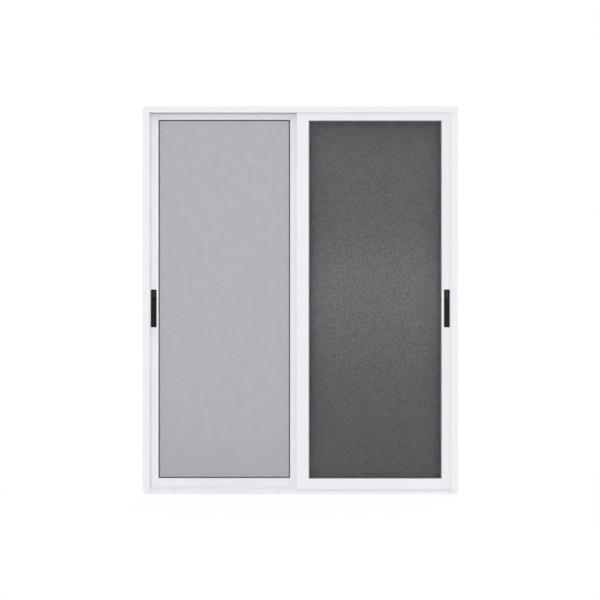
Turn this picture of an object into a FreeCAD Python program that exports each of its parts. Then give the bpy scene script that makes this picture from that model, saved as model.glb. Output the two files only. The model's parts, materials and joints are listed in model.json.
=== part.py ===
import FreeCAD, Part
import math
import os
from FreeCAD import Vector

# Sliding patio door, in millimetres. X runs across the door, Y runs through it with the outside
# at -Y, and Z is up. The origin is at the middle of the sill's underside.
#
# Three tracks run side by side. The rear one carries the sliding glass sash on the left, the
# middle one holds a fixed glazed panel on the right, and the front one carries an insect screen
# sash, also on the right. Every bar is a thin-walled extrusion.

# Frame
door_width = 1650.0
door_height = 2030.0
track_count = 3
track_pitch = 42.0
fin_thickness = 2.0
frame_wall = 2.0
hollow_depth = 17.0
jamb_face = 37.5
head_face = 33.0
edge_round = 0.7

# Sill
lip_height = 18.5
raised_floor = 22.5
floor_thickness = 2.5
fin_height = 37.0
upstand_height = 47.0
rib_thickness = 3.0
low_rib_rise = 24.0
high_rib_rise = 16.5
rib_round = 1.4
weep_radius = 4.0
weep_height = 10.5
weep_first = 116.0
weep_pitch = 269.0
weep_pairs = 3
drain_length = 24.0
drain_width = 6.0
drain_height = 6.0
drain_setback = 9.0
drain_lead = 10.0

# Sashes
sash_thickness = 28.0
sash_wall = 2.0
sash_round = 1.0
edge_clearance = 6.0
skirt = 4.0
channel_depth = 25.0
head_channel_depth = 12.0
lock_stile_width = 58.5
screen_lock_stile_width = 60.0
meeting_stile_width = 62.8
web_thickness = 1.6
glass_overlap = 10.0
screen_overlap = 19.0
glass_bottom_rail_height = 46.0
glass_top_rail_height = 45.0
screen_bottom_rail_height = 57.0
screen_top_rail_height = 50.0
notch_clearance = 3.0
seat_gap = 0.3

# Glazing
groove_depth = 12.0
lip_thickness = 3.0
edge_cover = 10.0
pane_thickness = 5.0
cavity = 6.0
spacer_width = 8.0
gasket_foot = 8.0
gasket_reach = 6.8
gasket_crown = 1.5
gasket_lip = 0.75

# Insect screen
rebate_depth = 3.0
spline_groove = 5.0
spline_shoulder = 2.5
spline_diameter = 4.6
spline_ribs = 10
mesh_thickness = 1.0

# Interlock and brushes
tongue_thickness = 3.0
tongue_height = 8.0
tongue_gap = 2.0
tongue_clearance = 5.0
brush_width = 4.0
brush_gap = 0.5
brush_inset = 2.5
brush_root = 1.2
brush_foot_gap = 3.0
sweep_inset = 44.0

# Flush pulls and latches
pull_width = 30.0
pull_height = 198.0
pull_centre = 972.0
pull_inset = 33.5
pull_proud = 3.0
pull_round = 4.0
tub_width = 22.0
tub_height = 112.0
tub_depth = 7.5
pocket_width = 17.0
pocket_height = 104.0
pocket_floor = 1.5
pocket_end_curve = 0.95
fit_gap = 0.3
slide_offset = 74.0
slide_slot_width = 8.0
slide_slot_height = 26.0
slide_knob_height = 9.0
slide_proud = 1.5
faceplate_width = 16.0
faceplate_height = 170.0
faceplate_thickness = 1.5
latch_case_thickness = 10.0
latch_case_height = 90.0
latch_case_reach = 38.0
hook_slot_width = 6.0
hook_slot_height = 40.0
hook_slot_depth = 19.0
keeper_width = 20.0
keeper_height = 130.0
keeper_thickness = 2.0
keeper_slot_width = 12.0
keeper_slot_height = 80.0

# Rollers and guides
wheel_radius = 10.0
tread_radius = 8.0
wheel_width = 9.0
tread_width = 4.4
axle_radius = 2.5
axle_clearance = 0.08
carriage_length = 80.0
carriage_width = 20.0
carriage_wall = 2.0
carriage_setback = 30.0
wheel_room = 3.0
wheel_side_gap = 1.0
guide_length = 40.0
guide_cap = 3.5
guide_skirt = 6.0
guide_gap = 1.0
guide_inset = 8.0

# Stops and wall fixings
bumper_size = 20.0
bumper_setback = 300.0
stop_length = 30.0
stop_width = 22.0
stop_grip = 5.0
fixing_radius = 4.0
fixing_setback = 260.0

tolerance = 1e-6

half_width = door_width / 2
track_y = [track_pitch * (number - (track_count - 1) / 2) for number in range(track_count)]
front_y, middle_y, rear_y = track_y
fin_y = [track_y[0] - track_pitch / 2 + track_pitch * number for number in range(track_count + 1)]
frame_front = fin_y[0] - fin_thickness / 2
frame_rear = fin_y[-1] + fin_thickness / 2
pocket_x = half_width - hollow_depth
pocket_z = door_height - hollow_depth
fin_tip_z = door_height - head_face
sash_half = sash_thickness / 2
groove_half = sash_half - lip_thickness
sash_edge = pocket_x - edge_clearance
sash_top = pocket_z - edge_clearance
low_rib_top = floor_thickness + low_rib_rise
high_rib_top = raised_floor + high_rib_rise
side_gap = (track_pitch - fin_thickness - sash_thickness) / 2
glass_travel = sash_edge - lock_stile_width - screen_overlap


def block(x_range, y_range, z_range):
    """Rectangular solid between the two values of each range, given in any order."""
    low = Vector(min(x_range), min(y_range), min(z_range))
    high = Vector(max(x_range), max(y_range), max(z_range))
    size = high - low
    return Part.makeBox(size.x, size.y, size.z, low)


def rounded_wire(corners, place):
    """Closed outline through corners (u, v), or (u, v, radius) where a corner is rounded."""
    runs = []
    for index, corner in enumerate(corners):
        here = Vector(corner[0], corner[1], 0)
        if len(corner) == 2:
            runs.append([here])
            continue
        before = corners[index - 1]
        after = corners[(index + 1) % len(corners)]
        back = (Vector(before[0], before[1], 0) - here).normalize()
        ahead = (Vector(after[0], after[1], 0) - here).normalize()
        half_turn = back.getAngle(ahead) / 2
        reach = corner[2] / math.tan(half_turn)
        inward = (back + ahead).normalize()
        middle = here + inward * (corner[2] / math.sin(half_turn) - corner[2])
        runs.append([here + back * reach, middle, here + ahead * reach])
    edges = []
    for index, run in enumerate(runs):
        points = [place(point.x, point.y) for point in run]
        if len(points) == 3:
            edges.append(Part.Arc(*points).toShape())
        following = runs[(index + 1) % len(runs)][0]
        edges.append(Part.makeLine(points[-1], place(following.x, following.y)))
    return Part.Wire(edges)


def extrusion(corners, hollows, place, direction):
    """Bar with the given outline, with a straight-sided hollow for each (u0, v0, u1, v1)."""
    bar = Part.Face(rounded_wire(corners, place)).extrude(direction)
    for u0, v0, u1, v1 in hollows:
        rim = [(u0, v0), (u1, v0), (u1, v1), (u0, v1)]
        bar = bar.cut(Part.Face(rounded_wire(rim, place)).extrude(direction))
    return bar


def upright(corners, hollows, bottom, top):
    """Bar along Z. Its section is in (x, y)."""
    return extrusion(corners, hollows, lambda x, y: Vector(x, y, bottom), Vector(0, 0, top - bottom))


def level(corners, hollows, left, right):
    """Bar along X. Its section is in (y, z)."""
    return extrusion(corners, hollows, lambda y, z: Vector(left, y, z), Vector(right - left, 0, 0))


def mitred_strip(left, right, bottom, top, section):
    """Endless strip round a rectangle. Section corners are (distance outside the rectangle, y)."""
    rims = []
    for out, y in section:
        rims.append([
            Vector(left - out, y, bottom - out),
            Vector(right + out, y, bottom - out),
            Vector(right + out, y, top + out),
            Vector(left - out, y, top + out),
        ])
    faces = []
    for rim, following in zip(rims, rims[1:] + rims[:1]):
        for side in range(4):
            turn = (side + 1) % 4
            quad = [rim[side], rim[turn], following[turn], following[side], rim[side]]
            faces.append(Part.Face(Part.makePolygon(quad)))
    return Part.Solid(Part.Shell(faces))


def save(name, *solids):
    """Write one node, made of solids that don't touch."""
    shape = solids[0] if len(solids) == 1 else Part.makeCompound(solids)
    shape.exportStep("parts/" + name + ".step")


# Frame

def channel_section(face):
    """Section of a jamb or the head: (distance from the outer face, y), with its hollows."""
    corners = [(0, frame_front)]
    hollows = []
    for number, y in enumerate(fin_y):
        near = y - fin_thickness / 2
        far = y + fin_thickness / 2
        if number > 0:
            corners.append((hollow_depth, near))
        corners.append((face, near, edge_round))
        corners.append((face, far, edge_round))
        if number < track_count:
            corners.append((hollow_depth, far))
            next_near = fin_y[number + 1] - fin_thickness / 2
            hollows.append((frame_wall, far, hollow_depth - frame_wall, next_near))
    corners.append((0, frame_rear))
    return corners, hollows


def sill_section():
    """Section of the stepped sill in (y, z), with its hollows."""
    corners = [(frame_front, 0)]
    tops = [lip_height, fin_height, fin_height, upstand_height]
    floors = [floor_thickness, raised_floor, raised_floor]
    rib_tops = [low_rib_top, high_rib_top, high_rib_top]
    for number, y in enumerate(fin_y):
        near = y - fin_thickness / 2
        far = y + fin_thickness / 2
        if number > 0:
            corners.append((near, floors[number - 1]))
        corners.append((near, tops[number], edge_round))
        corners.append((far, tops[number], edge_round))
        if number < track_count:
            floor = floors[number]
            rib_near = track_y[number] - rib_thickness / 2
            rib_far = track_y[number] + rib_thickness / 2
            corners.append((far, floor))
            corners.append((rib_near, floor))
            corners.append((rib_near, rib_tops[number], rib_round))
            corners.append((rib_far, rib_tops[number], rib_round))
            corners.append((rib_far, floor))
    corners.append((frame_rear, 0))
    hollows = []
    for number in range(1, track_count):
        front = fin_y[number] + fin_thickness / 2
        rear = fin_y[number + 1] - fin_thickness / 2
        hollows.append((front, floor_thickness, rear, raised_floor - floor_thickness))
    return corners, hollows


def make_sill():
    """Sill with weep holes in its front lip and drains through its ribs and floors."""
    corners, hollows = sill_section()
    sill = level(corners, hollows, -pocket_x, pocket_x)
    half = drain_length / 2
    for side in (-1, 1):
        for number in range(weep_pairs):
            x = side * (weep_first + number * weep_pitch)
            start = Vector(x, frame_front, weep_height)
            sill = sill.cut(Part.makeCylinder(weep_radius, fin_thickness, start, Vector(0, 1, 0)))
            sill = sill.cut(block((x - half, x + half), (front_y - drain_lead, rear_y),
                                  (floor_thickness, floor_thickness + drain_height)))
        for y in (middle_y, rear_y):
            x = side * (weep_first + weep_pitch / 2)
            sill = sill.cut(block((x - half, x + half), (y + drain_setback, y + drain_setback + drain_width),
                                  (raised_floor - floor_thickness, raised_floor)))
    return sill


def make_head():
    """Head, which has the jamb's section laid along X."""
    section, hollows = channel_section(head_face)
    corners = [(corner[1], door_height - corner[0]) + tuple(corner[2:]) for corner in section]
    rooms = [(v0, door_height - u0, v1, door_height - u1) for u0, v0, u1, v1 in hollows]
    return level(corners, rooms, -pocket_x, pocket_x)


def make_jamb(side, fixing_y):
    """Jamb on one side: -1 is left, 1 is right. Its fins are cut to stand between sill and head."""
    section, hollows = channel_section(jamb_face)
    corners = [(side * (half_width - corner[0]), corner[1]) + tuple(corner[2:]) for corner in section]
    rooms = [(side * (half_width - u0), v0, side * (half_width - u1), v1)
             for u0, v0, u1, v1 in hollows]
    jamb = upright(corners, rooms, 0, door_height)
    sill_filled = level(sill_section()[0], [], -pocket_x, pocket_x)
    head_zone = block((-pocket_x, pocket_x), (frame_front, frame_rear), (fin_tip_z, door_height))
    jamb = jamb.cut(sill_filled).cut(head_zone)
    for z in (fixing_setback, door_height - fixing_setback):
        start = Vector(side * half_width, fixing_y, z)
        jamb = jamb.cut(Part.makeCylinder(fixing_radius, hollow_depth, start, Vector(-side, 0, 0)))
    return jamb


# Glazed panels

def chambers(hollow):
    """A meeting stile's hollow, given as two corners in (x, y), parted in two by a web across it."""
    start, near, end, far = hollow
    step = 1 if end > start else -1
    middle = (start + end) / 2
    half = web_thickness / 2
    return [(start, near, middle - step * half, far), (middle + step * half, near, end, far)]


def glazed_stile(y, outer, inner, bottom, top, webbed):
    """Stile whose glazing groove opens towards inner. A webbed one has two chambers."""
    step = 1 if inner > outer else -1
    groove = inner - step * groove_depth
    corners = [
        (outer, y - sash_half, sash_round),
        (inner, y - sash_half, sash_round),
        (inner, y - groove_half),
        (groove, y - groove_half),
        (groove, y + groove_half),
        (inner, y + groove_half),
        (inner, y + sash_half, sash_round),
        (outer, y + sash_half, sash_round),
    ]
    reach = sash_half - sash_wall
    hollow = (outer + step * sash_wall, y - reach, groove - step * sash_wall, y + reach)
    return upright(corners, chambers(hollow) if webbed else [hollow], bottom, top)


def rail_hollow(y, near, far):
    """Hollow of a rail between two heights, less its walls."""
    step = 1 if far > near else -1
    reach = sash_half - sash_wall
    return (y - reach, near + step * sash_wall, y + reach, far - step * sash_wall)


def glazed_rail(y, edge, opening, channel, left, right):
    """Rail with a glazing groove at the opening and a channel at its outer edge."""
    step = 1 if opening > edge else -1
    groove = opening - step * groove_depth
    ceiling = edge + step * channel
    reach = sash_half - sash_wall
    corners = [
        (y - sash_half, edge),
        (y - sash_half, opening, sash_round),
        (y - groove_half, opening),
        (y - groove_half, groove),
        (y + groove_half, groove),
        (y + groove_half, opening),
        (y + sash_half, opening, sash_round),
        (y + sash_half, edge),
        (y + reach, edge),
        (y + reach, ceiling),
        (y - reach, ceiling),
        (y - reach, edge),
    ]
    return level(corners, [rail_hollow(y, ceiling, groove)], left, right)


def rib_slot(y, rib_top, left, right):
    """Room for the track's rib through the foot of a stile."""
    half = rib_thickness / 2 + notch_clearance
    return block((left, right), (y - half, y + half), (0, rib_top + notch_clearance))


def double_glazing(y, left, right, bottom, top):
    """Two panes and the spacer between them, for an opening of the given edges."""
    x_range = (left - edge_cover, right + edge_cover)
    z_range = (bottom - edge_cover, top + edge_cover)
    near = cavity / 2
    far = near + pane_thickness
    front = block(x_range, (y - far, y - near), z_range)
    rear = block(x_range, (y + near, y + far), z_range)
    inner = edge_cover - spacer_width
    section = [(inner, y - near), (edge_cover, y - near), (edge_cover, y + near), (inner, y + near)]
    return front, rear, mitred_strip(left, right, bottom, top, section)


def gasket(y, side, left, right, bottom, top):
    """Wedge gasket on one face of the glazing. Side is -1 in front and 1 behind."""
    glass_face = cavity / 2 + pane_thickness
    crown = groove_half + gasket_crown
    section = [
        (gasket_foot, y + side * glass_face),
        (gasket_foot, y + side * groove_half),
        (0, y + side * groove_half),
        (0, y + side * crown),
        (-gasket_crown, y + side * crown),
        (-gasket_reach, y + side * (glass_face + gasket_lip)),
        (-gasket_reach, y + side * glass_face),
    ]
    return mitred_strip(left, right, bottom, top, section)


def tongue(y, side, near, far):
    """Interlock tongue on one face of a meeting stile, clear of the fins above and below it."""
    root = y + side * sash_half
    tip = root + side * tongue_height
    corners = [(near, root), (near, tip, edge_round), (far, tip, edge_round), (far, root)]
    return upright(corners, [], fin_height + tongue_clearance, fin_tip_z - tongue_clearance)


# Pulls, latches, rollers and guides

def scoop(x, surface, side):
    """Finger pocket whose floor curves up to the surface at both ends."""
    depth = pull_proud + tub_depth - pocket_floor
    curve = depth * pocket_end_curve
    bottom = pull_centre - pocket_height / 2
    top = pull_centre + pocket_height / 2
    floor_y = surface - side * depth
    corners = [(surface, bottom), (floor_y, bottom, curve), (floor_y, top, curve), (surface, top)]
    wire = rounded_wire(corners, lambda y, z: Vector(x - pocket_width / 2, y, z))
    return Part.Face(wire).extrude(Vector(pocket_width, 0, 0))


def centred_block(x, z, width, height, y_start, y_end):
    """Square-cornered block that faces along Y."""
    return block((x - width / 2, x + width / 2), (y_start, y_end), (z - height / 2, z + height / 2))


def rounded_plate(x, z, width, height, radius, y_start, y_end):
    """Plate with rounded corners that faces along Y."""
    corners = [
        (x - width / 2, z - height / 2, radius),
        (x + width / 2, z - height / 2, radius),
        (x + width / 2, z + height / 2, radius),
        (x - width / 2, z + height / 2, radius),
    ]
    wire = rounded_wire(corners, lambda u, v: Vector(u, y_start, v))
    return Part.Face(wire).extrude(Vector(0, y_end - y_start, 0))


def flush_pull(x, face, side):
    """Flush pull with a scooped finger pocket, set through the face of a stile."""
    surface = face + side * pull_proud
    plate = rounded_plate(x, pull_centre, pull_width, pull_height, pull_round, face, surface)
    plate = plate.makeChamfer(edge_round, outer_edges(plate, surface))
    tub = centred_block(x, pull_centre, tub_width, tub_height, face - side * tub_depth, face)
    slot = centred_block(x, pull_centre + slide_offset, slide_slot_width, slide_slot_height, face, surface)
    pull = plate.fuse(tub).removeSplitter()
    return pull.cut(scoop(x, surface, side)).cut(slot)


def outer_edges(plate, y):
    """Edges of a plate that lie in the plane of the given y."""
    return [edge for edge in plate.Edges
            if abs(edge.BoundBox.YMin - y) < tolerance and abs(edge.BoundBox.YMax - y) < tolerance]


def tub_opening(x, face, side):
    """Hole in a stile's face for the tub of a pull."""
    width = tub_width + fit_gap * 2
    height = tub_height + fit_gap * 2
    return centred_block(x, pull_centre, width, height, face - side * sash_wall, face)


def thumb_slide(x, face, side):
    """Thumb slide in the slot of a pull, with a raised knob."""
    z = pull_centre + slide_offset
    width = slide_slot_width - fit_gap * 2
    surface = face + side * pull_proud
    base = centred_block(x, z, width, slide_slot_height - fit_gap * 2, face, surface - side * edge_round)
    knob = centred_block(x, z, width, slide_knob_height, face, surface + side * slide_proud)
    return base.fuse(knob).removeSplitter()


def latch(y, edge, step):
    """Latch case behind a slotted faceplate on the closing edge. Step points into the stile."""
    plate = block((edge - step * faceplate_thickness, edge),
                  (y - faceplate_width / 2, y + faceplate_width / 2),
                  (pull_centre - faceplate_height / 2, pull_centre + faceplate_height / 2))
    case = block((edge, edge + step * latch_case_reach),
                 (y - latch_case_thickness / 2, y + latch_case_thickness / 2),
                 (pull_centre - latch_case_height / 2, pull_centre + latch_case_height / 2))
    slot = block((edge - step * faceplate_thickness, edge + step * hook_slot_depth),
                 (y - hook_slot_width / 2, y + hook_slot_width / 2),
                 (pull_centre - hook_slot_height / 2, pull_centre + hook_slot_height / 2))
    return plate.fuse(case).removeSplitter().cut(slot)


def latch_opening(y, edge, step):
    """Hole in the edge wall of a stile for the latch case."""
    half = latch_case_thickness / 2 + fit_gap
    height = latch_case_height / 2 + fit_gap
    return block((edge, edge + step * sash_wall), (y - half, y + half),
                 (pull_centre - height, pull_centre + height))


def keeper(y, side):
    """Slotted keeper on the back of a jamb's pocket, facing the latch."""
    inner = side * (pocket_x - keeper_thickness)
    plate = block((side * pocket_x, inner), (y - keeper_width / 2, y + keeper_width / 2),
                  (pull_centre - keeper_height / 2, pull_centre + keeper_height / 2))
    slot = block((side * pocket_x, inner), (y - keeper_slot_width / 2, y + keeper_slot_width / 2),
                 (pull_centre - keeper_slot_height / 2, pull_centre + keeper_slot_height / 2))
    return plate.cut(slot)


def carriage(x, y, rib_top):
    """Roller carriage with its axle, seated under the ceiling of the bottom rail's channel."""
    floor = rib_top + wheel_room
    ceiling = rib_top - skirt + channel_depth
    length = carriage_length / 2
    half = carriage_width / 2
    body = block((x - length, x + length), (y - half, y + half), (floor, ceiling))
    room = block((x - wheel_radius - wheel_room, x + wheel_radius + wheel_room),
                 (y - wheel_width / 2 - wheel_side_gap, y + wheel_width / 2 + wheel_side_gap),
                 (floor, ceiling - carriage_wall))
    axle_start = Vector(x, y - half, rib_top + seat_gap + tread_radius)
    axle = Part.makeCylinder(axle_radius, carriage_width, axle_start, Vector(0, 1, 0))
    return body.cut(room).fuse(axle).removeSplitter()


def wheel(x, y, rib_top):
    """Grooved wheel that straddles the rib of its track."""
    bore = axle_radius + axle_clearance
    half = wheel_width / 2
    tread = tread_width / 2
    corners = [
        (-half, bore),
        (-half, wheel_radius),
        (-tread, tread_radius),
        (tread, tread_radius),
        (half, wheel_radius),
        (half, bore),
    ]
    centre = Vector(x, y, rib_top + seat_gap + tread_radius)
    wire = rounded_wire(corners, lambda along, out: centre + Vector(0, along, out))
    return Part.Face(wire).revolve(centre, Vector(0, 1, 0), 360)


def top_guide(x_start, x_end, y):
    """Cap on the top end of a stile, with skirts that keep the sash midway between the fins."""
    reach = sash_half + side_gap - guide_gap
    body = block((x_start, x_end), (y - reach, y + reach), (sash_top - guide_skirt, sash_top + guide_cap))
    core = block((x_start, x_end), (y - sash_half, y + sash_half), (sash_top - guide_skirt, sash_top))
    return body.cut(core)


def brushes(y, left, right, edge, step):
    """Brush strips on both faces of a sash: along its top rail and down its closing stile."""
    strips = []
    near = edge + step * brush_inset
    for side in (-1, 1):
        root = y + side * (sash_half - brush_root)
        tip = y + side * (sash_half + side_gap - brush_gap)
        strips.append(block((left, right), (root, tip),
                            (sash_top - brush_inset - brush_width, sash_top - brush_inset)))
        strips.append(block((near, near + step * brush_width), (root, tip),
                            (upstand_height + brush_foot_gap, fin_tip_z - tongue_clearance)))
    return strips


def cut_all(shape, tools):
    """The shape less every tool."""
    for tool in tools:
        shape = shape.cut(tool)
    return shape


def make_glazed_panel(prefix, y, left_edge, right_edge, left_inner, right_inner, bottom, top, opening):
    """Save the panes, spacer and gaskets of a panel, and return its four bars."""
    low, high = opening
    meets_on_left = abs(left_edge) < abs(right_edge)
    left = glazed_stile(y, left_edge, left_inner, bottom, top, meets_on_left)
    right = glazed_stile(y, right_edge, right_inner, bottom, top, not meets_on_left)
    rib_gap = rib_slot(y, high_rib_top, left_edge, right_edge)
    upper = glazed_rail(y, top, high, head_channel_depth, left_inner, right_inner)
    channel = high_rib_top - skirt + channel_depth - bottom
    lower = glazed_rail(y, bottom, low, channel, left_inner, right_inner)
    front, rear, spacer = double_glazing(y, left_inner, right_inner, low, high)
    save(prefix + "_pane_front", front)
    save(prefix + "_pane_rear", rear)
    save(prefix + "_spacer", spacer)
    save(prefix + "_gaskets",
         gasket(y, -1, left_inner, right_inner, low, high),
         gasket(y, 1, left_inner, right_inner, low, high))
    return left.cut(rib_gap), right.cut(rib_gap), upper, lower


def make_closing_hardware(prefix, y, edge, step, stile, left_rail, right_rail, rib_top):
    """Save the pulls, latch, rollers and guides of a sash, and return its lock stile, cut for them."""
    x = edge + step * pull_inset
    slides = []
    for name, side in (("front", -1), ("rear", 1)):
        face = y + side * sash_half
        stile = stile.cut(tub_opening(x, face, side))
        save(prefix + "_pull_" + name, flush_pull(x, face, side))
        slides.append(thumb_slide(x, face, side))
    save(prefix + "_thumb_slides", *slides)
    save(prefix + "_latch", latch(y, edge, step))
    stations = (left_rail + carriage_setback + carriage_length / 2,
                right_rail - carriage_setback - carriage_length / 2)
    save(prefix + "_carriages", *[carriage(station, y, rib_top) for station in stations])
    save(prefix + "_wheels", *[wheel(station, y, rib_top) for station in stations])
    guides = []
    for start, direction in ((left_rail - guide_inset, -1), (right_rail + guide_inset, 1)):
        guides.append(top_guide(start, start + direction * guide_length, y))
    save(prefix + "_top_guides", *guides)
    return stile.cut(latch_opening(y, edge, step))


# Insect screen

def screen_stile(y, outer, face_edge, bottom, top, webbed):
    """Hollow stile, wide enough to carry the spline groove beyond its face. A webbed one has two chambers."""
    step = 1 if face_edge > outer else -1
    inner = face_edge + step * (spline_groove + spline_shoulder)
    corners = [
        (outer, y - sash_half, sash_round),
        (inner, y - sash_half),
        (inner, y + sash_half, sash_round),
        (outer, y + sash_half, sash_round),
    ]
    reach = sash_half - sash_wall
    hollow = (outer + step * sash_wall, y - reach, face_edge - step * sash_wall, y + reach)
    return upright(corners, chambers(hollow) if webbed else [hollow], bottom, top), inner


def screen_rail(y, edge, face_edge, channel, left, right):
    """Hollow rail with a channel at its outer edge and room for the spline groove beyond its face."""
    step = 1 if face_edge > edge else -1
    inner = face_edge + step * (spline_groove + spline_shoulder)
    ceiling = edge + step * channel
    reach = sash_half - sash_wall
    corners = [
        (y - sash_half, edge),
        (y - sash_half, inner),
        (y + sash_half, inner, sash_round),
        (y + sash_half, edge),
        (y + reach, edge),
        (y + reach, ceiling),
        (y - reach, ceiling),
        (y - reach, edge),
    ]
    return level(corners, [rail_hollow(y, ceiling, face_edge)], left, right)


def spline_cord(y, left, right, bottom, top):
    """Ribbed rubber cord that presses the mesh into its groove."""
    section = []
    for rib in range(spline_ribs):
        turn = 2 * math.pi * rib / spline_ribs
        section.append((spline_diameter / 2 * math.cos(turn), y + spline_diameter / 2 * math.sin(turn)))
    return mitred_strip(left, right, bottom, top, section)


def make_screen():
    """Insect screen sash in the front track."""
    y = front_y
    bottom = low_rib_top - skirt
    left_edge = -screen_overlap
    left_face = left_edge + meeting_stile_width
    right_face = sash_edge - screen_lock_stile_width
    low = bottom + screen_bottom_rail_height
    high = sash_top - screen_top_rail_height
    meeting, left_inner = screen_stile(y, left_edge, left_face, bottom, sash_top, True)
    lock, right_inner = screen_stile(y, sash_edge, right_face, bottom, sash_top, False)
    upper = screen_rail(y, sash_top, high, head_channel_depth, left_inner, right_inner)
    lower = screen_rail(y, bottom, low, channel_depth, left_inner, right_inner)

    front = y - sash_half
    bed = front + rebate_depth
    groove_bottom = bed + spline_groove
    rebate = block((left_face, right_face), (front, bed), (low, high))
    ring = block((left_face, right_face), (bed, groove_bottom), (low, high))
    core = block((left_face + spline_groove, right_face - spline_groove), (bed, groove_bottom),
                 (low + spline_groove, high - spline_groove))
    carving = rebate.fuse(ring.cut(core)).removeSplitter()
    feet = rib_slot(y, low_rib_top, left_edge, sash_edge)
    lock = lock.cut(carving).cut(feet)
    save("screen_meeting_stile", meeting.cut(carving).cut(feet))
    strips = brushes(y, left_inner, right_inner, sash_edge, -1)
    lock = cut_all(lock, strips)
    save("screen_top_rail", cut_all(upper.cut(carving), strips))
    save("screen_bottom_rail", lower.cut(carving))

    middle = spline_groove / 2
    cord_y = groove_bottom - spline_diameter / 2
    save("screen_spline", spline_cord(cord_y, left_face + middle, right_face - middle,
                                      low + middle, high - middle))
    save("screen_mesh", block((left_face + spline_groove, right_face - spline_groove),
                              (bed - mesh_thickness, bed),
                              (low + spline_groove, high - spline_groove)))

    sweep_x = left_edge + sweep_inset
    rear = y + sash_half
    strips.append(block((sweep_x, sweep_x + brush_width), (rear, middle_y - sash_half - brush_gap),
                        (fin_height + tongue_clearance, fin_tip_z - tongue_clearance)))
    save("screen_brushes", *strips)
    lock = make_closing_hardware("screen", y, sash_edge, -1, lock, left_inner, right_inner, low_rib_top)
    save("screen_lock_stile", lock)


def make_glass_sash():
    """Sliding glass sash in the rear track."""
    y = rear_y
    bottom = high_rib_top - skirt
    left_inner = -sash_edge + lock_stile_width
    right_inner = glass_overlap - meeting_stile_width
    opening = (bottom + glass_bottom_rail_height, sash_top - glass_top_rail_height)
    lock, meeting, upper, lower = make_glazed_panel(
        "glass", y, -sash_edge, glass_overlap, left_inner, right_inner, bottom, sash_top, opening)
    start = -screen_overlap + tongue_thickness + tongue_gap
    meeting = meeting.fuse(tongue(y, -1, start, start + tongue_thickness)).removeSplitter()
    save("glass_meeting_stile", meeting)
    strips = brushes(y, left_inner, right_inner, -sash_edge, 1)
    save("glass_brushes", *strips)
    save("glass_top_rail", cut_all(upper, strips))
    save("glass_bottom_rail", lower)
    lock = cut_all(lock, strips)
    lock = make_closing_hardware("glass", y, -sash_edge, 1, lock, left_inner, right_inner, high_rib_top)
    save("glass_lock_stile", lock)


def make_fixed_panel():
    """Glazed panel fixed in the middle track, behind the screen."""
    y = middle_y
    left_edge = -screen_overlap
    left_inner = left_edge + meeting_stile_width
    right_inner = sash_edge - lock_stile_width
    glass_bottom = high_rib_top - skirt + glass_bottom_rail_height
    opening = (glass_bottom, sash_top - glass_top_rail_height)
    meeting, jamb_stile, upper, lower = make_glazed_panel(
        "fixed", y, left_edge, pocket_x, left_inner, right_inner, raised_floor, pocket_z - seat_gap,
        opening)
    meeting = meeting.fuse(tongue(y, 1, left_edge, left_edge + tongue_thickness)).removeSplitter()
    save("fixed_meeting_stile", meeting)
    save("fixed_jamb_stile", jamb_stile)
    save("fixed_top_rail", upper)
    save("fixed_bottom_rail", lower)


def make_stops():
    """Rubber bumpers in the jamb pockets, and the block in the head that ends the glass travel."""
    bumpers = []
    depth = edge_clearance - seat_gap
    half = bumper_size / 2
    for side, y in ((-1, rear_y), (-1, front_y), (1, front_y)):
        for z in (bumper_setback, door_height - bumper_setback):
            bumpers.append(block((side * pocket_x, side * (pocket_x - depth)), (y - half, y + half),
                                 (z - half, z + half)))
    save("jamb_bumpers", *bumpers)
    start = glass_overlap + glass_travel + seat_gap
    save("travel_stop", block((start, start + stop_length),
                              (rear_y - stop_width / 2, rear_y + stop_width / 2),
                              (sash_top - stop_grip, pocket_z)))


os.makedirs("parts", exist_ok=True)
save("sill", make_sill())
save("head", make_head())
save("left_jamb", make_jamb(-1, front_y))
save("right_jamb", make_jamb(1, rear_y))
save("keepers", keeper(rear_y, -1), keeper(front_y, 1))
make_stops()
make_fixed_panel()
make_glass_sash()
make_screen()
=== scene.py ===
# %% [markdown]
# A white sliding patio door. One glazed sash slides in the rear track, a fixed glazed panel stands
# in the middle track, and a dark screen sash slides in front of it. The bars, panes and rollers
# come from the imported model. This lesson adds what a solid model leaves out: the woven screen,
# the pile of the brushes, the screws and hooks, and the finish of every surface.

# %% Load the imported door
import json
import math
import random

import bmesh
import bpy
from mathutils import Matrix, Vector


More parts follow.
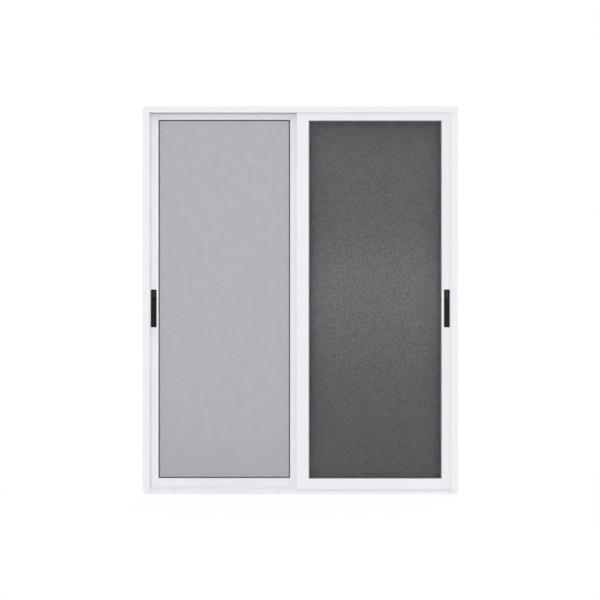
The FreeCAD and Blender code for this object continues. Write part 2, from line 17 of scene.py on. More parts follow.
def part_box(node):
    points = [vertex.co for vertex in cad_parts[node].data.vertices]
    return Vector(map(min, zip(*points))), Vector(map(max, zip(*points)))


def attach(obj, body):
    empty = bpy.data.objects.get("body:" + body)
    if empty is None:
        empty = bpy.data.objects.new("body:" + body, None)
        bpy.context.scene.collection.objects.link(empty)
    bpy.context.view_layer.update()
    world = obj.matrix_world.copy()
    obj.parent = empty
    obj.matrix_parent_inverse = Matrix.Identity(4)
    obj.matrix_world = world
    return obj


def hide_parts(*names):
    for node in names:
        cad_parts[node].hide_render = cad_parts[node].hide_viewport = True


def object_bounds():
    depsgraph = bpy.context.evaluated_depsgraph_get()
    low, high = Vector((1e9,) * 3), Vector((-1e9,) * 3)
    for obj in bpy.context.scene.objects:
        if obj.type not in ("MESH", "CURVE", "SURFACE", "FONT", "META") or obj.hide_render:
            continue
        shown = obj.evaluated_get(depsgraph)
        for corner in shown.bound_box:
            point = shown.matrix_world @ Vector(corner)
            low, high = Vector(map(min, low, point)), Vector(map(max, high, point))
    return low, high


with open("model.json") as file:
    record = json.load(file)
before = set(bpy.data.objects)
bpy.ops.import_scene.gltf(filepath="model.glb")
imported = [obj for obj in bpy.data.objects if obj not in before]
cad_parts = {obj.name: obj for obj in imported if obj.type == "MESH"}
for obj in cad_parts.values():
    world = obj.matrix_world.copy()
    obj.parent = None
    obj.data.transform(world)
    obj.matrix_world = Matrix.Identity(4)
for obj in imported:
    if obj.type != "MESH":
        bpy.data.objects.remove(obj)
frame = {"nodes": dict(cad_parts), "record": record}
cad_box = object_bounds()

mm = 0.001
quarter = math.radians(90)
print("nodes:", len(frame["nodes"]))

# %% [markdown]
# Every operator acts on all that is selected, so each piece starts from an empty selection. These
# hand moves name a piece and leave its object at the origin, with its place in its mesh. Most
# small pieces start as a block or a disc.

# %% Start a piece
def mode(kind):
    """Go into edit mode, or back to object mode."""
    bpy.ops.object.mode_set(mode=kind)


def start_clean():
    """Nothing is selected, and no object is in edit mode."""
    if bpy.context.object and bpy.context.object.mode != "OBJECT":
        mode("OBJECT")
    bpy.ops.object.select_all(action="DESELECT")


def take(piece):
    """Only this piece is selected and active."""
    start_clean()
    piece.select_set(True)
    bpy.context.view_layer.objects.active = piece


def new_piece(name):
    """Name the object that the last primitive made."""
    piece = bpy.context.object
    piece.name = name
    piece.data.name = name
    return piece


def settle(piece):
    """Put the object's place, turn and size into its mesh."""
    take(piece)
    bpy.ops.object.transform_apply(location=True, rotation=True, scale=True)
    return piece


def block(name, size, middle):
    """A block about its middle, to be shaped."""
    start_clean()
    bpy.ops.mesh.primitive_cube_add(size=1)
    piece = new_piece(name)
    piece.scale = size
    piece.location = middle
    return settle(piece)


def disc(name, sides, radius, depth, middle=(0, 0, 0), lean=0.0):
    """A disc whose ends look to the front and rear, to be shaped."""
    start_clean()
    bpy.ops.mesh.primitive_cylinder_add(vertices=sides, radius=radius, depth=depth,
                                        location=middle, rotation=(quarter - lean, 0, 0))
    return settle(new_piece(name))


print("pieces can be started")

# %% [markdown]
# In edit mode the faces to work on are picked in code, by the way that they look. They are then
# pulled out, inset or made smaller. Bevels, cuts and rows finish the shape.

# %% Pick and shape
square_on = 0.5    # the least part of a normal along the axis that it points along


def faces_front(face):
    """True for a face that looks to the front."""
    return face.normal.y < -square_on


def faces_rear(face):
    """True for a face that looks to the rear."""
    return face.normal.y > square_on


def pick(piece, test, kind="FACE"):
    """In edit mode, select only the faces, or vertices, that pass the test."""
    bpy.ops.mesh.select_mode(type=kind)
    bpy.ops.mesh.select_all(action="DESELECT")
    mesh = bmesh.from_edit_mesh(piece.data)
    for part in mesh.faces if kind == "FACE" else mesh.verts:
        part.select_set(test(part))
    mesh.select_flush_mode()
    bmesh.update_edit_mesh(piece.data)


def extrude(y=0.0, z=0.0):
    """Pull the selected faces out."""
    bpy.ops.mesh.extrude_region_move(TRANSFORM_OT_translate={"value": (0, y, z)})


def soften(piece, width):
    """Bevel every edge of the piece by a small width."""
    take(piece)
    mode("EDIT")
    bpy.ops.mesh.select_all(action="SELECT")
    bpy.ops.mesh.bevel(offset=width, segments=1)
    mode("OBJECT")


def modify(piece, kind, **settings):
    """Add a modifier to the piece, set it and apply it."""
    take(piece)
    modifier = piece.modifiers.new(kind.capitalize(), kind)
    for key, value in settings.items():
        setattr(modifier, key, value)
    bpy.ops.object.modifier_apply(modifier=modifier.name)


def carve(piece, tool):
    """Cut a tool out of the piece, and remove the tool."""
    modify(piece, "BOOLEAN", operation="DIFFERENCE", object=tool, solver="EXACT")
    bpy.data.objects.remove(tool)


def array(piece, count, step):
    """Repeat the piece along a step."""
    modify(piece, "ARRAY", use_relative_offset=False, use_constant_offset=True,
           constant_offset_displace=step, count=count)


print("pieces can be shaped")

# %% [markdown]
# What repeats is modelled once and copied. Each copy has a mesh of its own, and copies that belong
# together are joined into one piece.

# %% Copy and join
def copy_of(piece, name, place):
    """A copy with a mesh of its own, moved by a matrix."""
    twin = piece.copy()
    twin.data = piece.data.copy()
    twin.name = name
    twin.data.name = name
    bpy.context.scene.collection.objects.link(twin)
    twin.data.transform(place)
    return twin


def join(name, pieces):
    """Several objects become one."""
    start_clean()
    for piece in pieces:
        piece.select_set(True)
    bpy.context.view_layer.objects.active = pieces[0]
    if len(pieces) > 1:
        bpy.ops.object.join()
    return new_piece(name)


def triangles(*pieces):
    """How many triangles the meshes of these pieces have."""
    return sum(len(face.vertices) - 2 for piece in pieces for face in piece.data.polygons)


print("pieces can be copied and joined")

# %% [markdown]
# The screen is a shading cloth: flat coated yarns, about one and a half millimetres wide, with a
# small hole between them. It could be a sheet with a see-through pattern, but then it has no
# edges and no thickness close up. Here one yarn is drawn out of a six-sided ring, flattened, and
# repeated across the opening, once upright and once level, so the holes are real. The yarns
# never lie quite evenly, so each is shifted by a hair.

# %% One yarn, and a row of them
cloth_low, cloth_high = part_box("screen_mesh")
cloth_size = cloth_high - cloth_low
yarn_pitch = 2.0 * mm
yarn_width = 1.46 * mm
yarn_thickness = 0.40 * mm
yarn_shift = 0.07 * mm
yarn_sides = 6


def yarn(name, length):
    """One flat upright yarn that starts at the origin."""
    start_clean()
    bpy.ops.mesh.primitive_circle_add(vertices=yarn_sides, radius=yarn_width / 2,
                                      fill_type="NGON")
    piece = new_piece(name)
    piece.scale = (1, yarn_thickness / yarn_width, 1)
    settle(piece)
    mode("EDIT")
    bpy.ops.mesh.select_all(action="SELECT")
    extrude(z=length)
    bpy.ops.mesh.select_all(action="SELECT")
    bpy.ops.mesh.normals_make_consistent(inside=False)
    mode("OBJECT")
    return piece


def shift_yarns(row, count, seed):
    """Move each yarn sideways by its own small amount."""
    draw = random.Random(seed)
    size = len(row.data.vertices) // count
    for number in range(count):
        shift = draw.uniform(-yarn_shift, yarn_shift)
        for vertex in row.data.vertices[number * size:(number + 1) * size]:
            vertex.co.x += shift


def yarn_row(name, length, width, seed):
    """Yarns side by side along X, the margin at each end, and how many there are."""
    count = int(width / yarn_pitch)
    row = yarn(name, length)
    array(row, count, (yarn_pitch, 0, 0))
    shift_yarns(row, count, seed)
    return row, (width - (count - 1) * yarn_pitch) / 2, count


print("cloth:", round(cloth_size.x, 3), "by", round(cloth_size.z, 3), "m")

# %% Screen cloth
warp_seed = 11
weft_seed = 12
cloth_y = (cloth_low.y + cloth_high.y) / 2

warp, margin, warp_count = yarn_row("screen_cloth", cloth_size.z, cloth_size.x, warp_seed)
warp.location = (cloth_low.x + margin, cloth_y - yarn_thickness / 2, cloth_low.z)
settle(warp)
weft, margin, weft_count = yarn_row("screen_weft", cloth_size.x, cloth_size.z, weft_seed)
weft.rotation_euler = (0, quarter, 0)
weft.location = (cloth_low.x, cloth_y + yarn_thickness / 2, cloth_high.z - margin)
settle(weft)
screen_cloth = join("screen_cloth", [warp, weft])
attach(screen_cloth, "screen_sash")
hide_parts("screen_mesh")
print("screen cloth:", warp_count, "by", weft_count, "yarns,", triangles(screen_cloth), "triangles")

# %% [markdown]
# The cloth's edge turns into the groove, and the cord presses it down there. The turned edge looks
# solid, because the yarns lie close on each other. It is drawn as a thin band: a plane the size
# of the opening is inset twice, its middle is deleted, and its outer rim is pushed into the groove.

# %% Turned edge of the cloth
turn_width = 0.25 * mm
flat_width = 1.5 * mm
turn_depth = 2.4 * mm
band_thickness = 0.25 * mm
rim = turn_width / 2
middle_x = (cloth_low.x + cloth_high.x) / 2
middle_z = (cloth_low.z + cloth_high.z) / 2
reach_x = cloth_high.x + rim / 2 - middle_x
reach_z = cloth_high.z + rim / 2 - middle_z


def on_outer_rim(vertex):
    """True for a vertex on the band's outer edge."""
    return abs(vertex.co.x - middle_x) > reach_x or abs(vertex.co.z - middle_z) > reach_z


start_clean()
bpy.ops.mesh.primitive_plane_add(size=1, rotation=(quarter, 0, 0))
screen_hem = new_piece("screen_hem")
screen_hem.scale = (cloth_size.x + rim * 2, cloth_size.z + rim * 2, 1)
screen_hem.location = (middle_x, cloth_y - yarn_thickness, middle_z)
settle(screen_hem)
mode("EDIT")
bpy.ops.mesh.select_all(action="SELECT")
bpy.ops.mesh.inset(thickness=turn_width)
bpy.ops.mesh.inset(thickness=flat_width)
bpy.ops.mesh.delete(type="FACE")
pick(screen_hem, on_outer_rim, "VERT")
bpy.ops.transform.translate(value=(0, turn_depth, 0))
mode("OBJECT")
modify(screen_hem, "SOLIDIFY", thickness=band_thickness)
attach(screen_hem, "screen_sash")
print("turned edge:", triangles(screen_hem), "triangles")

# %% [markdown]
# Brush strips close the gap between a sash and its track. They take their places from the packed
# ones: each separate solid of a node is read by its box. Touching corners are merged first,
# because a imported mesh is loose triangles.

# %% Boxes of the separate solids of a node
touching = 1e-6
same_place = 4    # decimals of a metre: a hair's difference doesn't change the order


def solid_around(vertex, unseen):
    """Box of the solid that holds a vertex. Its vertices leave the unseen ones."""
    low = vertex.co.copy()
    high = vertex.co.copy()
    group = [vertex]
    while group:
        vertex = group.pop()
        for axis in range(3):
            low[axis] = min(low[axis], vertex.co[axis])
            high[axis] = max(high[axis], vertex.co[axis])
        for edge in vertex.link_edges:
            other = edge.other_vert(vertex)
            if other in unseen:
                unseen.remove(other)
                group.append(other)
    return low, high


def loose_boxes(node):
    """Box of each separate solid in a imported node, from left to right and front to rear."""
    mesh = bmesh.new()
    mesh.from_mesh(frame["nodes"][node].data)
    bmesh.ops.remove_doubles(mesh, verts=mesh.verts, dist=touching)
    unseen = set(mesh.verts)
    boxes = []
    while unseen:
        boxes.append(solid_around(unseen.pop(), unseen))
    mesh.free()
    return sorted(boxes, key=lambda pair: [round(value, same_place) for value in pair[0]])


for node in ("glass_brushes", "screen_brushes"):
    print(node + ":", len(loose_boxes(node)), "strips")

# %% [markdown]
# The real strips are a woven backing with close rows of wool tufts. A plain bar looks like foam,
# so one tuft is drawn as a small block with a pinched end and repeated along the backing. Each
# copy then leans its own way and is cut to its own length, because even tufts would look like
# the teeth of a rack.

# %% Tufts
tuft_pitch = 1.5 * mm
tuft_fill = 0.96
tip_along = 0.62
tip_across = 0.5
tuft_lean = 0.24 * mm
tuft_trim = 0.55 * mm
tip_slack = mm / 100
backing_share = 0.22
backing_bevel = 0.15 * mm


def ruffle(tufts, count, along, root_side, seed):
    """Lean each tuft's tip along the strip, and cut it to its own length."""
    draw = random.Random(seed)
    points = tufts.data.vertices
    size = len(points) // count
    tip = min(point.co.y * root_side for point in points)
    for number in range(count):
        lean = draw.uniform(-tuft_lean, tuft_lean)
        trim = draw.uniform(0, tuft_trim)
        for point in points[number * size:(number + 1) * size]:
            if point.co.y * root_side < tip + tip_slack:
                point.co[along] += lean
                point.co.y += root_side * trim


def tuft_row(name, low, high, root_y, root_side):
    """Tufts side by side in a box, from their roots on the backing to their tips."""
    size = high - low
    along = 0 if size.x > size.z else 2
    across = 2 - along
    depth = size.y * (1 - backing_share)
    count = max(1, int(size[along] / tuft_pitch))
    step = size[along] / count
    span = [0, depth, 0]
    span[along] = step * tuft_fill
    span[across] = size[across] * tuft_fill
    middle = (low + high) / 2
    middle[along] = low[along] + step / 2
    middle.y = root_y - root_side * depth / 2
    tuft = block(name, span, middle)
    tips, roots = (faces_front, faces_rear) if root_side > 0 else (faces_rear, faces_front)
    mode("EDIT")
    pick(tuft, tips)
    pinch = [1, 1, 1]
    pinch[along] = tip_along
    pinch[across] = tip_across
    bpy.ops.transform.resize(value=pinch)
    pick(tuft, roots)
    bpy.ops.mesh.delete(type="FACE")
    mode("OBJECT")
    offset = [0, 0, 0]
    offset[along] = step
    array(tuft, count, offset)
    ruffle(tuft, count, along, root_side, count + len(name))
    return tuft


print("tufts:", round(1 / tuft_pitch), "a metre")

# %% Brush pile of both sashes
def pile_strip(name, low, high, root_side):
    """Backing and tufts in a box. Root side is the end of Y at which the backing lies."""
    size = high - low
    thickness = size.y * backing_share
    root_y = low.y + thickness if root_side < 0 else high.y - thickness
    tufts = tuft_row(name, low, high, root_y, root_side)
    middle = (low + high) / 2
    middle.y = low.y + thickness / 2 if root_side < 0 else high.y - thickness / 2
    backing = block(name + "_backing", (size.x, thickness, size.z), middle)
    soften(backing, backing_bevel)
    return join(name, [tufts, backing])


def pile(name, node, body, rail):
    """All the brush strips of one sash. Their backings lie towards its middle."""
    rail_low, rail_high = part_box(rail)
    sash_middle = (rail_low.y + rail_high.y) / 2
    strips = []
    for number, (low, high) in enumerate(loose_boxes(node)):
        root_side = -1 if (low.y + high.y) / 2 > sash_middle else 1
        strips.append(pile_strip(f"{name}_{number}", low, high, root_side))
    piece = join(name, strips)
    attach(piece, body)
    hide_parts(node)
    print(name + ":", len(strips), "strips,", triangles(piece), "triangles")
    return piece


glass_pile = pile("glass_pile", "glass_brushes", "glass_sash", "glass_top_rail")
screen_pile = pile("screen_pile", "screen_brushes", "screen_sash", "screen_top_rail")

# %% [markdown]
# Small screws hold the pulls, the latch faceplates, the keepers and the frame itself. One head is
# made and then copied: a disc with a softened rim and a cross-shaped recess, which is cut with a
# Boolean modifier as a driver bit would press it.

# %% One screw head
screw_sides = 24
screw_radius = 3.4 * mm
screw_height = 1.4 * mm
screw_proud = 0.8 * mm
screw_rim = 0.5 * mm
dome_rise = 0.35 * mm
dome_share = 0.82
recess_long = 4.2 * mm
recess_wide = 0.9 * mm
recess_depth = 1.4 * mm
recess_taper = 0.6


def screw_head():
    """Countersunk head that faces -Y, with the middle of its rim at the origin."""
    head = disc("screw_head", screw_sides, screw_radius, screw_height)
    mode("EDIT")
    pick(head, faces_front)
    bpy.ops.mesh.inset(thickness=screw_rim)
    extrude(y=-dome_rise)
    bpy.ops.transform.resize(value=(dome_share, 1, dome_share))
    mode("OBJECT")
    top = (0, -screw_height / 2 - dome_rise, 0)
    arms = [(recess_long, recess_depth, recess_wide), (recess_wide, recess_depth, recess_long)]
    for number, size in enumerate(arms):
        arm = block(f"driver_{number}", size, top)
        mode("EDIT")
        pick(arm, faces_rear)
        bpy.ops.transform.resize(value=(recess_taper, 1, recess_taper))
        mode("OBJECT")
        carve(head, arm)
    return head


head_pattern = screw_head()
print("screw head:", triangles(head_pattern), "triangles")

# %% [markdown]
# Each copy is turned to face out of its surface and set a little proud. It is also spun by up to
# a quarter turn, because nobody lines screws up.

# %% Set screws
face_front = Matrix.Identity(4)
face_rear = Matrix.Rotation(2 * quarter, 4, "Z")
face_left = Matrix.Rotation(-quarter, 4, "Z")
face_right = Matrix.Rotation(quarter, 4, "Z")
face_down = Matrix.Rotation(quarter, 4, "X")
screw_seed = 5
draw = random.Random(screw_seed)
black_screws = []
steel_screws = []


def screw_place(point, facing):
    """A point on the surface, the way that it faces, and the next random turn."""
    return point, facing, draw.uniform(0, quarter)


def screws(name, body, places, size=1.0):
    """Copies of the screw head, joined."""
    heads = []
    for number, (point, facing, turn) in enumerate(places):
        outward = facing @ Vector((0, -1, 0))
        spin = Matrix.Rotation(turn, 4, "Y")
        lift = outward * (screw_proud - screw_height / 2) * size
        place = Matrix.Translation(Vector(point) + lift) @ facing @ spin @ Matrix.Scale(size, 4)
        heads.append(copy_of(head_pattern, f"{name}_{number}", place))
    piece = join(name, heads)
    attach(piece, body)
    return piece


print("screws can be set")

# %% Screws of the pulls, latches and keepers
pull_end = 8.5 * mm
plate_end = 11 * mm

for sash in ("glass", "screen"):
    places = []
    for side, facing in (("front", face_front), ("rear", face_rear)):
        low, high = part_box(f"{sash}_pull_{side}")
        x = (low.x + high.x) / 2
        y = low.y if side == "front" else high.y
        for z in (low.z + pull_end, high.z - pull_end):
            places.append(screw_place((x, y, z), facing))
    black_screws.append(screws(f"{sash}_pull_screws", f"{sash}_sash", places))

    low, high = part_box(f"{sash}_latch")
    outer, facing = (low.x, face_left) if sash == "glass" else (high.x, face_right)
    y = (low.y + high.y) / 2
    places = [screw_place((outer, y, z), facing) for z in (low.z + plate_end, high.z - plate_end)]
    steel_screws.append(screws(f"{sash}_latch_screws", f"{sash}_sash", places))

places = []
for low, high in loose_boxes("keepers"):
    inner, facing = (high.x, face_right) if high.x < 0 else (low.x, face_left)
    y = (low.y + high.y) / 2
    for z in (low.z + plate_end, high.z - plate_end):
        places.append(screw_place((inner, y, z), facing))
steel_screws.append(screws("keeper_screws", "frame", places))
print("screws:", triangles(*black_screws, *steel_screws), "triangles")

# %% [markdown]
# Each sash is screwed together through the edges of its stiles, and the door is fixed to the wall
# through its jambs. One more screw holds the rubber block that ends the glass sash's travel.

# %% Screws of the bars and jambs
left_and_right_stiles = {"glass": ("glass_lock_stile", "glass_meeting_stile"),
                         "screen": ("screen_meeting_stile", "screen_lock_stile")}
foot_screws = (9 * mm, 18 * mm)
head_screws = (9 * mm, 24 * mm)
corner_size = 0.85
for sash, (left_stile, right_stile) in left_and_right_stiles.items():
    foot_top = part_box(f"{sash}_bottom_rail")[1].z
    head_low, head_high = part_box(f"{sash}_top_rail")
    y = (head_low.y + head_high.y) / 2
    heights = [foot_top - down for down in foot_screws]
    heights += [head_low.z + up for up in head_screws]
    places = []
    for x, facing in ((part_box(left_stile)[0].x, face_left), (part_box(right_stile)[1].x, face_right)):
        places += [screw_place((x, y, z), facing) for z in heights]
    steel_screws.append(screws(f"{sash}_corner_screws", f"{sash}_sash", places,
                               corner_size))

jamb_hollow = 17 * mm
fixing_setback = 0.26
fixing_y = 42 * mm
fixing_size = 1.9
places = []
for side, facing in ((-1, face_right), (1, face_left)):
    x = side * (cad_box[1].x - jamb_hollow)
    for z in (fixing_setback, cad_box[1].z - fixing_setback):
        places.append(screw_place((x, side * fixing_y, z), facing))
steel_screws.append(screws("jamb_screws", "frame", places, fixing_size))

stop_low, stop_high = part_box("travel_stop")
stop_middle = (stop_low + stop_high) / 2
stop_turn = 0.4
steel_screws.append(screws("stop_screw", "frame",
                           [((stop_middle.x, stop_middle.y, stop_low.z), face_down, stop_turn)]))
bpy.data.objects.remove(head_pattern)
print("bar and jamb screws:", triangles(*steel_screws[-4:]), "triangles")

# %% [markdown]
# Rain that gets into the sill leaves by six weep holes in its front. Each has a small grey cover
# with a flap that lets water out and keeps the wind out. The rim is a short cylinder whose front
# is inset and pushed in, and the flap is a disc that hangs at a slight angle in it.

# %% One weep cover
weep_sides = 20
weep_radius = 3.9 * mm
weep_depth = 1.6 * mm
weep_rim_width = 0.7 * mm
weep_sink = 1.1 * mm
flap_radius = 2.8 * mm
flap_thickness = 0.45 * mm
flap_place = (0, -0.15 * mm, -0.1 * mm)
flap_lean = 0.12
flap_bevel = 0.1 * mm

weep_rim = disc("weep_rim", weep_sides, weep_radius, weep_depth)
mode("EDIT")
pick(weep_rim, faces_front)
bpy.ops.mesh.inset(thickness=weep_rim_width)
extrude(y=weep_sink)
mode("OBJECT")
weep_flap = disc("weep_flap", weep_sides, flap_radius, flap_thickness, flap_place, flap_lean)
soften(weep_flap, flap_bevel)
weep_pattern = join("weep_pattern", [weep_rim, weep_flap])
print("one weep cover:", triangles(weep_pattern), "triangles")

# %% Weep covers along the sill
weep_first = 0.116
weep_pitch = 0.269
weep_pairs = 3
weep_height = 10.5 * mm
lip_thickness = 2 * mm
lip_y = cad_box[0].y + lip_thickness / 2
covers = []
for side in (-1, 1):
    for number in range(weep_pairs):
        spot = (side * (weep_first + number * weep_pitch), lip_y, weep_height)
        covers.append(copy_of(weep_pattern, f"weep_{side}_{number}", Matrix.Translation(spot)))
bpy.data.objects.remove(weep_pattern)
weep_covers = join("weep_covers", covers)
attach(weep_covers, "frame")
print("weep covers:", triangles(weep_covers), "triangles")

# %% [markdown]
# Behind the slot of each latch faceplate waits a steel hook. It is a thick disc with a bite taken
# out of it, drawn back into the case, because the door is unlocked while it slides.

# %% Latch hooks
hook_sides = 28
hook_radius = 8.4 * mm
hook_thickness = 3.6 * mm
hook_setback = 1.2 * mm
hook_bevel = 0.4 * mm
bite_sides = 20
bite_radius = 5.0 * mm
bite_out = 4.5 * mm
bite_up = 5.5 * mm
latch_hooks = []
for sash in ("glass", "screen"):
    low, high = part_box(f"{sash}_latch")
    outer, inward = (low.x, 1) if sash == "glass" else (high.x, -1)
    middle = (low + high) / 2
    x = outer + inward * (hook_radius + hook_setback)
    hook = disc(f"{sash}_hook", hook_sides, hook_radius, hook_thickness, (x, middle.y, middle.z))
    soften(hook, hook_bevel)
    bite_place = (x - inward * bite_out, middle.y, middle.z + bite_up)
    carve(hook, disc("bite", bite_sides, bite_radius, hook_thickness * 2, bite_place))
    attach(hook, f"{sash}_sash")
    latch_hooks.append(hook)
print("hooks:", triangles(*latch_hooks), "triangles")

# %% [markdown]
# A thumb slide works the hook, and fine ridges across its knob give the thumb a hold. One ridge
# is a small block with softened edges, repeated up the knob.

# %% Thumb ridges
ridge_count = 4
ridge_step = 1.9 * mm
ridge_width = 6.0 * mm
ridge_height = 0.8 * mm
ridge_proud = 0.35 * mm
ridge_bevel = 0.15 * mm
thumb_ridges = []
for sash in ("glass", "screen"):
    front_knob, rear_knob = loose_boxes(f"{sash}_thumb_slides")
    rows = []
    for (low, high), y in ((front_knob, front_knob[0].y), (rear_knob, rear_knob[1].y)):
        middle = (low + high) / 2
        lowest = middle.z - ridge_step * (ridge_count - 1) / 2
        ridge = block(f"{sash}_ridge_{len(rows)}", (ridge_width, ridge_proud * 2, ridge_height),
                      (middle.x, y, lowest))
        soften(ridge, ridge_bevel)
        array(ridge, ridge_count, (0, 0, ridge_step))
        rows.append(ridge)
    piece = join(f"{sash}_thumb_ridges", rows)
    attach(piece, f"{sash}_sash")
    thumb_ridges.append(piece)
print("thumb ridges:", triangles(*thumb_ridges), "triangles")

# %% [markdown]
# A finish is easier to keep consistent when its pattern lives in a node group: the same paint
# grain serves the white bars and the black pulls, with other colours and sizes. The bench below
# gives short ways to place nodes in any tree.

# %% A bench for nodes
noise_low = 0.3     # noise seldom leaves the range between these two
noise_high = 0.7


class Bench:
    """Short ways to place nodes in a tree."""

    def __init__(self, tree):
        self.tree = tree

    def add(self, kind, **settings):
        node = self.tree.nodes.new(kind)
        for key, value in settings.items():
            setattr(node, key, value)
        return node

    def wire(self, source, target):
        if hasattr(source, "is_output"):
            self.tree.links.new(source, target)
        else:
            target.default_value = source

    def math(self, operation, first, second=0.0, clamp=False):
        node = self.add("ShaderNodeMath", operation=operation, use_clamp=clamp)
        self.wire(first, node.inputs[0])
        self.wire(second, node.inputs[1])
        return node.outputs[0]

    def place(self):
        return self.add("ShaderNodeTexCoord").outputs["Object"]

    def stretch(self, scale):
        node = self.add("ShaderNodeMapping")
        self.wire(self.place(), node.inputs["Vector"])
        node.inputs["Scale"].default_value = scale
        return node.outputs["Vector"]

    def split(self, vector):
        node = self.add("ShaderNodeSeparateXYZ")
        self.wire(vector, node.inputs[0])
        return node.outputs

    def noise(self, vector, scale, detail=2.0, roughness=0.5):
        node = self.add("ShaderNodeTexNoise")
        self.wire(vector, node.inputs["Vector"])
        self.wire(scale, node.inputs["Scale"])
        node.inputs["Detail"].default_value = detail
        node.inputs["Roughness"].default_value = roughness
        return node.outputs["Fac"]

    def spread(self, value, low, high, new_low, new_high):
        node = self.add("ShaderNodeMapRange")
        for index, entry in enumerate((value, low, high, new_low, new_high)):
            self.wire(entry, node.inputs[index])
        return node.outputs[0]

    def vary(self, noise, middle, swing):
        """Noise spread to either side of a middle."""
        return self.spread(noise, noise_low, noise_high, middle - swing, middle + swing)

    def fade(self, distance, depth, reach):
        """Falls from depth to nothing: depth * exp(-distance / reach)."""
        power = self.math("MULTIPLY", self.math("DIVIDE", distance, reach), -1.0)
        return self.math("MULTIPLY", self.math("EXPONENT", power), depth)

    def blend(self, share, first, second):
        node = self.add("ShaderNodeMix", data_type="RGBA", blend_type="MIX")
        self.wire(share, node.inputs["Factor"])
        self.wire(first, node.inputs["A"])
        self.wire(second, node.inputs["B"])
        return node.outputs["Result"]

    def scale_colour(self, colour, amount):
        node = self.add("ShaderNodeVectorMath", operation="SCALE")
        self.wire(colour, node.inputs[0])
        self.wire(amount, node.inputs["Scale"])
        return node.outputs[0]


print("the bench is ready")

# %% [markdown]
# A group puts out only what changes over the surface. The shader itself, with its even settings,
# stays in each material.

# %% Groups and materials
def node_group(name, inputs, outputs):
    """An empty shader group. Its sockets are given by their names and starting values."""
    group = bpy.data.node_groups.new(name, "ShaderNodeTree")
    for in_out, sockets in (("INPUT", inputs), ("OUTPUT", outputs)):
        for title, value in sockets.items():
            kind = "NodeSocketFloat" if isinstance(value, float) else "NodeSocketColor"
            socket = group.interface.new_socket(title, in_out=in_out, socket_type=kind)
            socket.default_value = value
    entry = group.nodes.new("NodeGroupInput")
    leave = group.nodes.new("NodeGroupOutput")
    return group, entry.outputs, leave.inputs


def shader_of(name):
    """A new material, its bench and its Principled shader."""
    material = bpy.data.materials.new(name)
    material.use_nodes = True
    bench = Bench(material.node_tree)
    return material, bench, material.node_tree.nodes["Principled BSDF"]


def set_evenly(shader, values):
    """Values that are the same all over, on the shader's own sockets."""
    for socket, value in values.items():
        shader.inputs[socket].default_value = value


def use_group(bench, group, **values):
    """A group in a material, with this material's own values."""
    node = bench.add("ShaderNodeGroup", node_tree=group)
    for key, value in values.items():
        node.inputs[key.replace("_", " ").capitalize()].default_value = value
    return node.outputs


def bump(bench, height, strength, distance, shader):
    """Send a height to the shader's normal."""
    node = bench.add("ShaderNodeBump")
    node.inputs["Strength"].default_value = strength
    node.inputs["Distance"].default_value = distance
    bench.wire(height, node.inputs["Height"])
    bench.wire(node.outputs["Normal"], shader.inputs["Normal"])


grey = (0.5, 0.5, 0.5, 1)
print("groups and materials can be made")

# %% [markdown]
# Glass and cloth are painted a little darker towards their edges: painted shade, where the frame
# stands in the way of the light. A thin line of painted shade marks where one bar meets another.
# One group gives all of that: it fades the tone towards the four edges of an opening. It reads
# the place on the piece, so it moves with the sash.

# %% Shade towards the edges
edge_group, edge_in, edge_out = node_group(
    "Edge shade",
    {"Left": -1.0, "Right": 1.0, "Bottom": 0.0, "Top": 2.0, "Near depth": 0.3, "Far depth": 0.2,
     "Near reach": 0.012, "Far reach": 0.045, "Upright share": 1.0},
    {"Tone": 1.0})


def edge_tone(bench, value, low, high, share):
    """Tone at a distance from the nearer of two edges, on either side of it."""
    from_edge = bench.math("MINIMUM", bench.math("SUBTRACT", value, low),
                           bench.math("SUBTRACT", high, value))
    either_side = bench.math("ABSOLUTE", from_edge)
    near = bench.fade(either_side, edge_in["Near depth"], edge_in["Near reach"])
    far = bench.fade(either_side, edge_in["Far depth"], edge_in["Far reach"])
    dark = bench.math("MULTIPLY", bench.math("ADD", near, far), share)
    return bench.math("SUBTRACT", 1.0, dark)


# The tone is painted shade, darker towards the edges of an opening.
bench = Bench(edge_group)
place = bench.split(bench.place())
level_tone = edge_tone(bench, place["X"], edge_in["Left"], edge_in["Right"], 1.0)
upright_tone = edge_tone(bench, place["Z"], edge_in["Bottom"], edge_in["Top"],
                         edge_in["Upright share"])
bench.wire(bench.math("MULTIPLY", level_tone, upright_tone), edge_out["Tone"])
print("edge shade group:", len(edge_group.nodes), "nodes")

# %% [markdown]
# Powder coat is baked on as dust and flows into a skin with the faint dimples of orange peel,
# about a millimetre apart. Its shade drifts a little from bar to bar, and dust settles on what
# faces up. All of it is very slight, because a new door looks plain from a few steps away.

# %% Grain of a powder coat
drift_scale = 2.3
drift_swing = 0.015
smudge_scale = 38.0
smudge_swing = 0.05
level_from = 0.6    # dust starts to lie on a face whose normal is this upright
dust_colour = (0.42, 0.39, 0.35, 1)

coat_group, coat_in, coat_out = node_group(
    "Powder coat grain",
    {"Paint": grey, "Peel": 900.0, "Rough": 0.4, "Dust": 0.05},
    {"Colour": grey, "Roughness": 0.4, "Height": 0.0})
bench = Bench(coat_group)
peel = bench.noise(bench.place(), coat_in["Peel"], detail=1.0)
drift = bench.noise(bench.place(), drift_scale, detail=3.0)
smudge = bench.noise(bench.place(), smudge_scale, detail=4.0, roughness=0.6)
facing = bench.add("ShaderNodeNewGeometry").outputs["Normal"]
up = bench.spread(bench.split(facing)["Z"], level_from, 1.0, 0.0, 1.0)
settled = bench.math("MULTIPLY", bench.math("MULTIPLY", up, smudge), coat_in["Dust"])
tinted = bench.scale_colour(coat_in["Paint"], bench.vary(drift, 1.0, drift_swing))
bench.wire(bench.blend(settled, tinted, dust_colour), coat_out["Colour"])
worn = bench.vary(smudge, 0.0, smudge_swing)
bench.wire(bench.math("ADD", coat_in["Rough"], worn, clamp=True), coat_out["Roughness"])
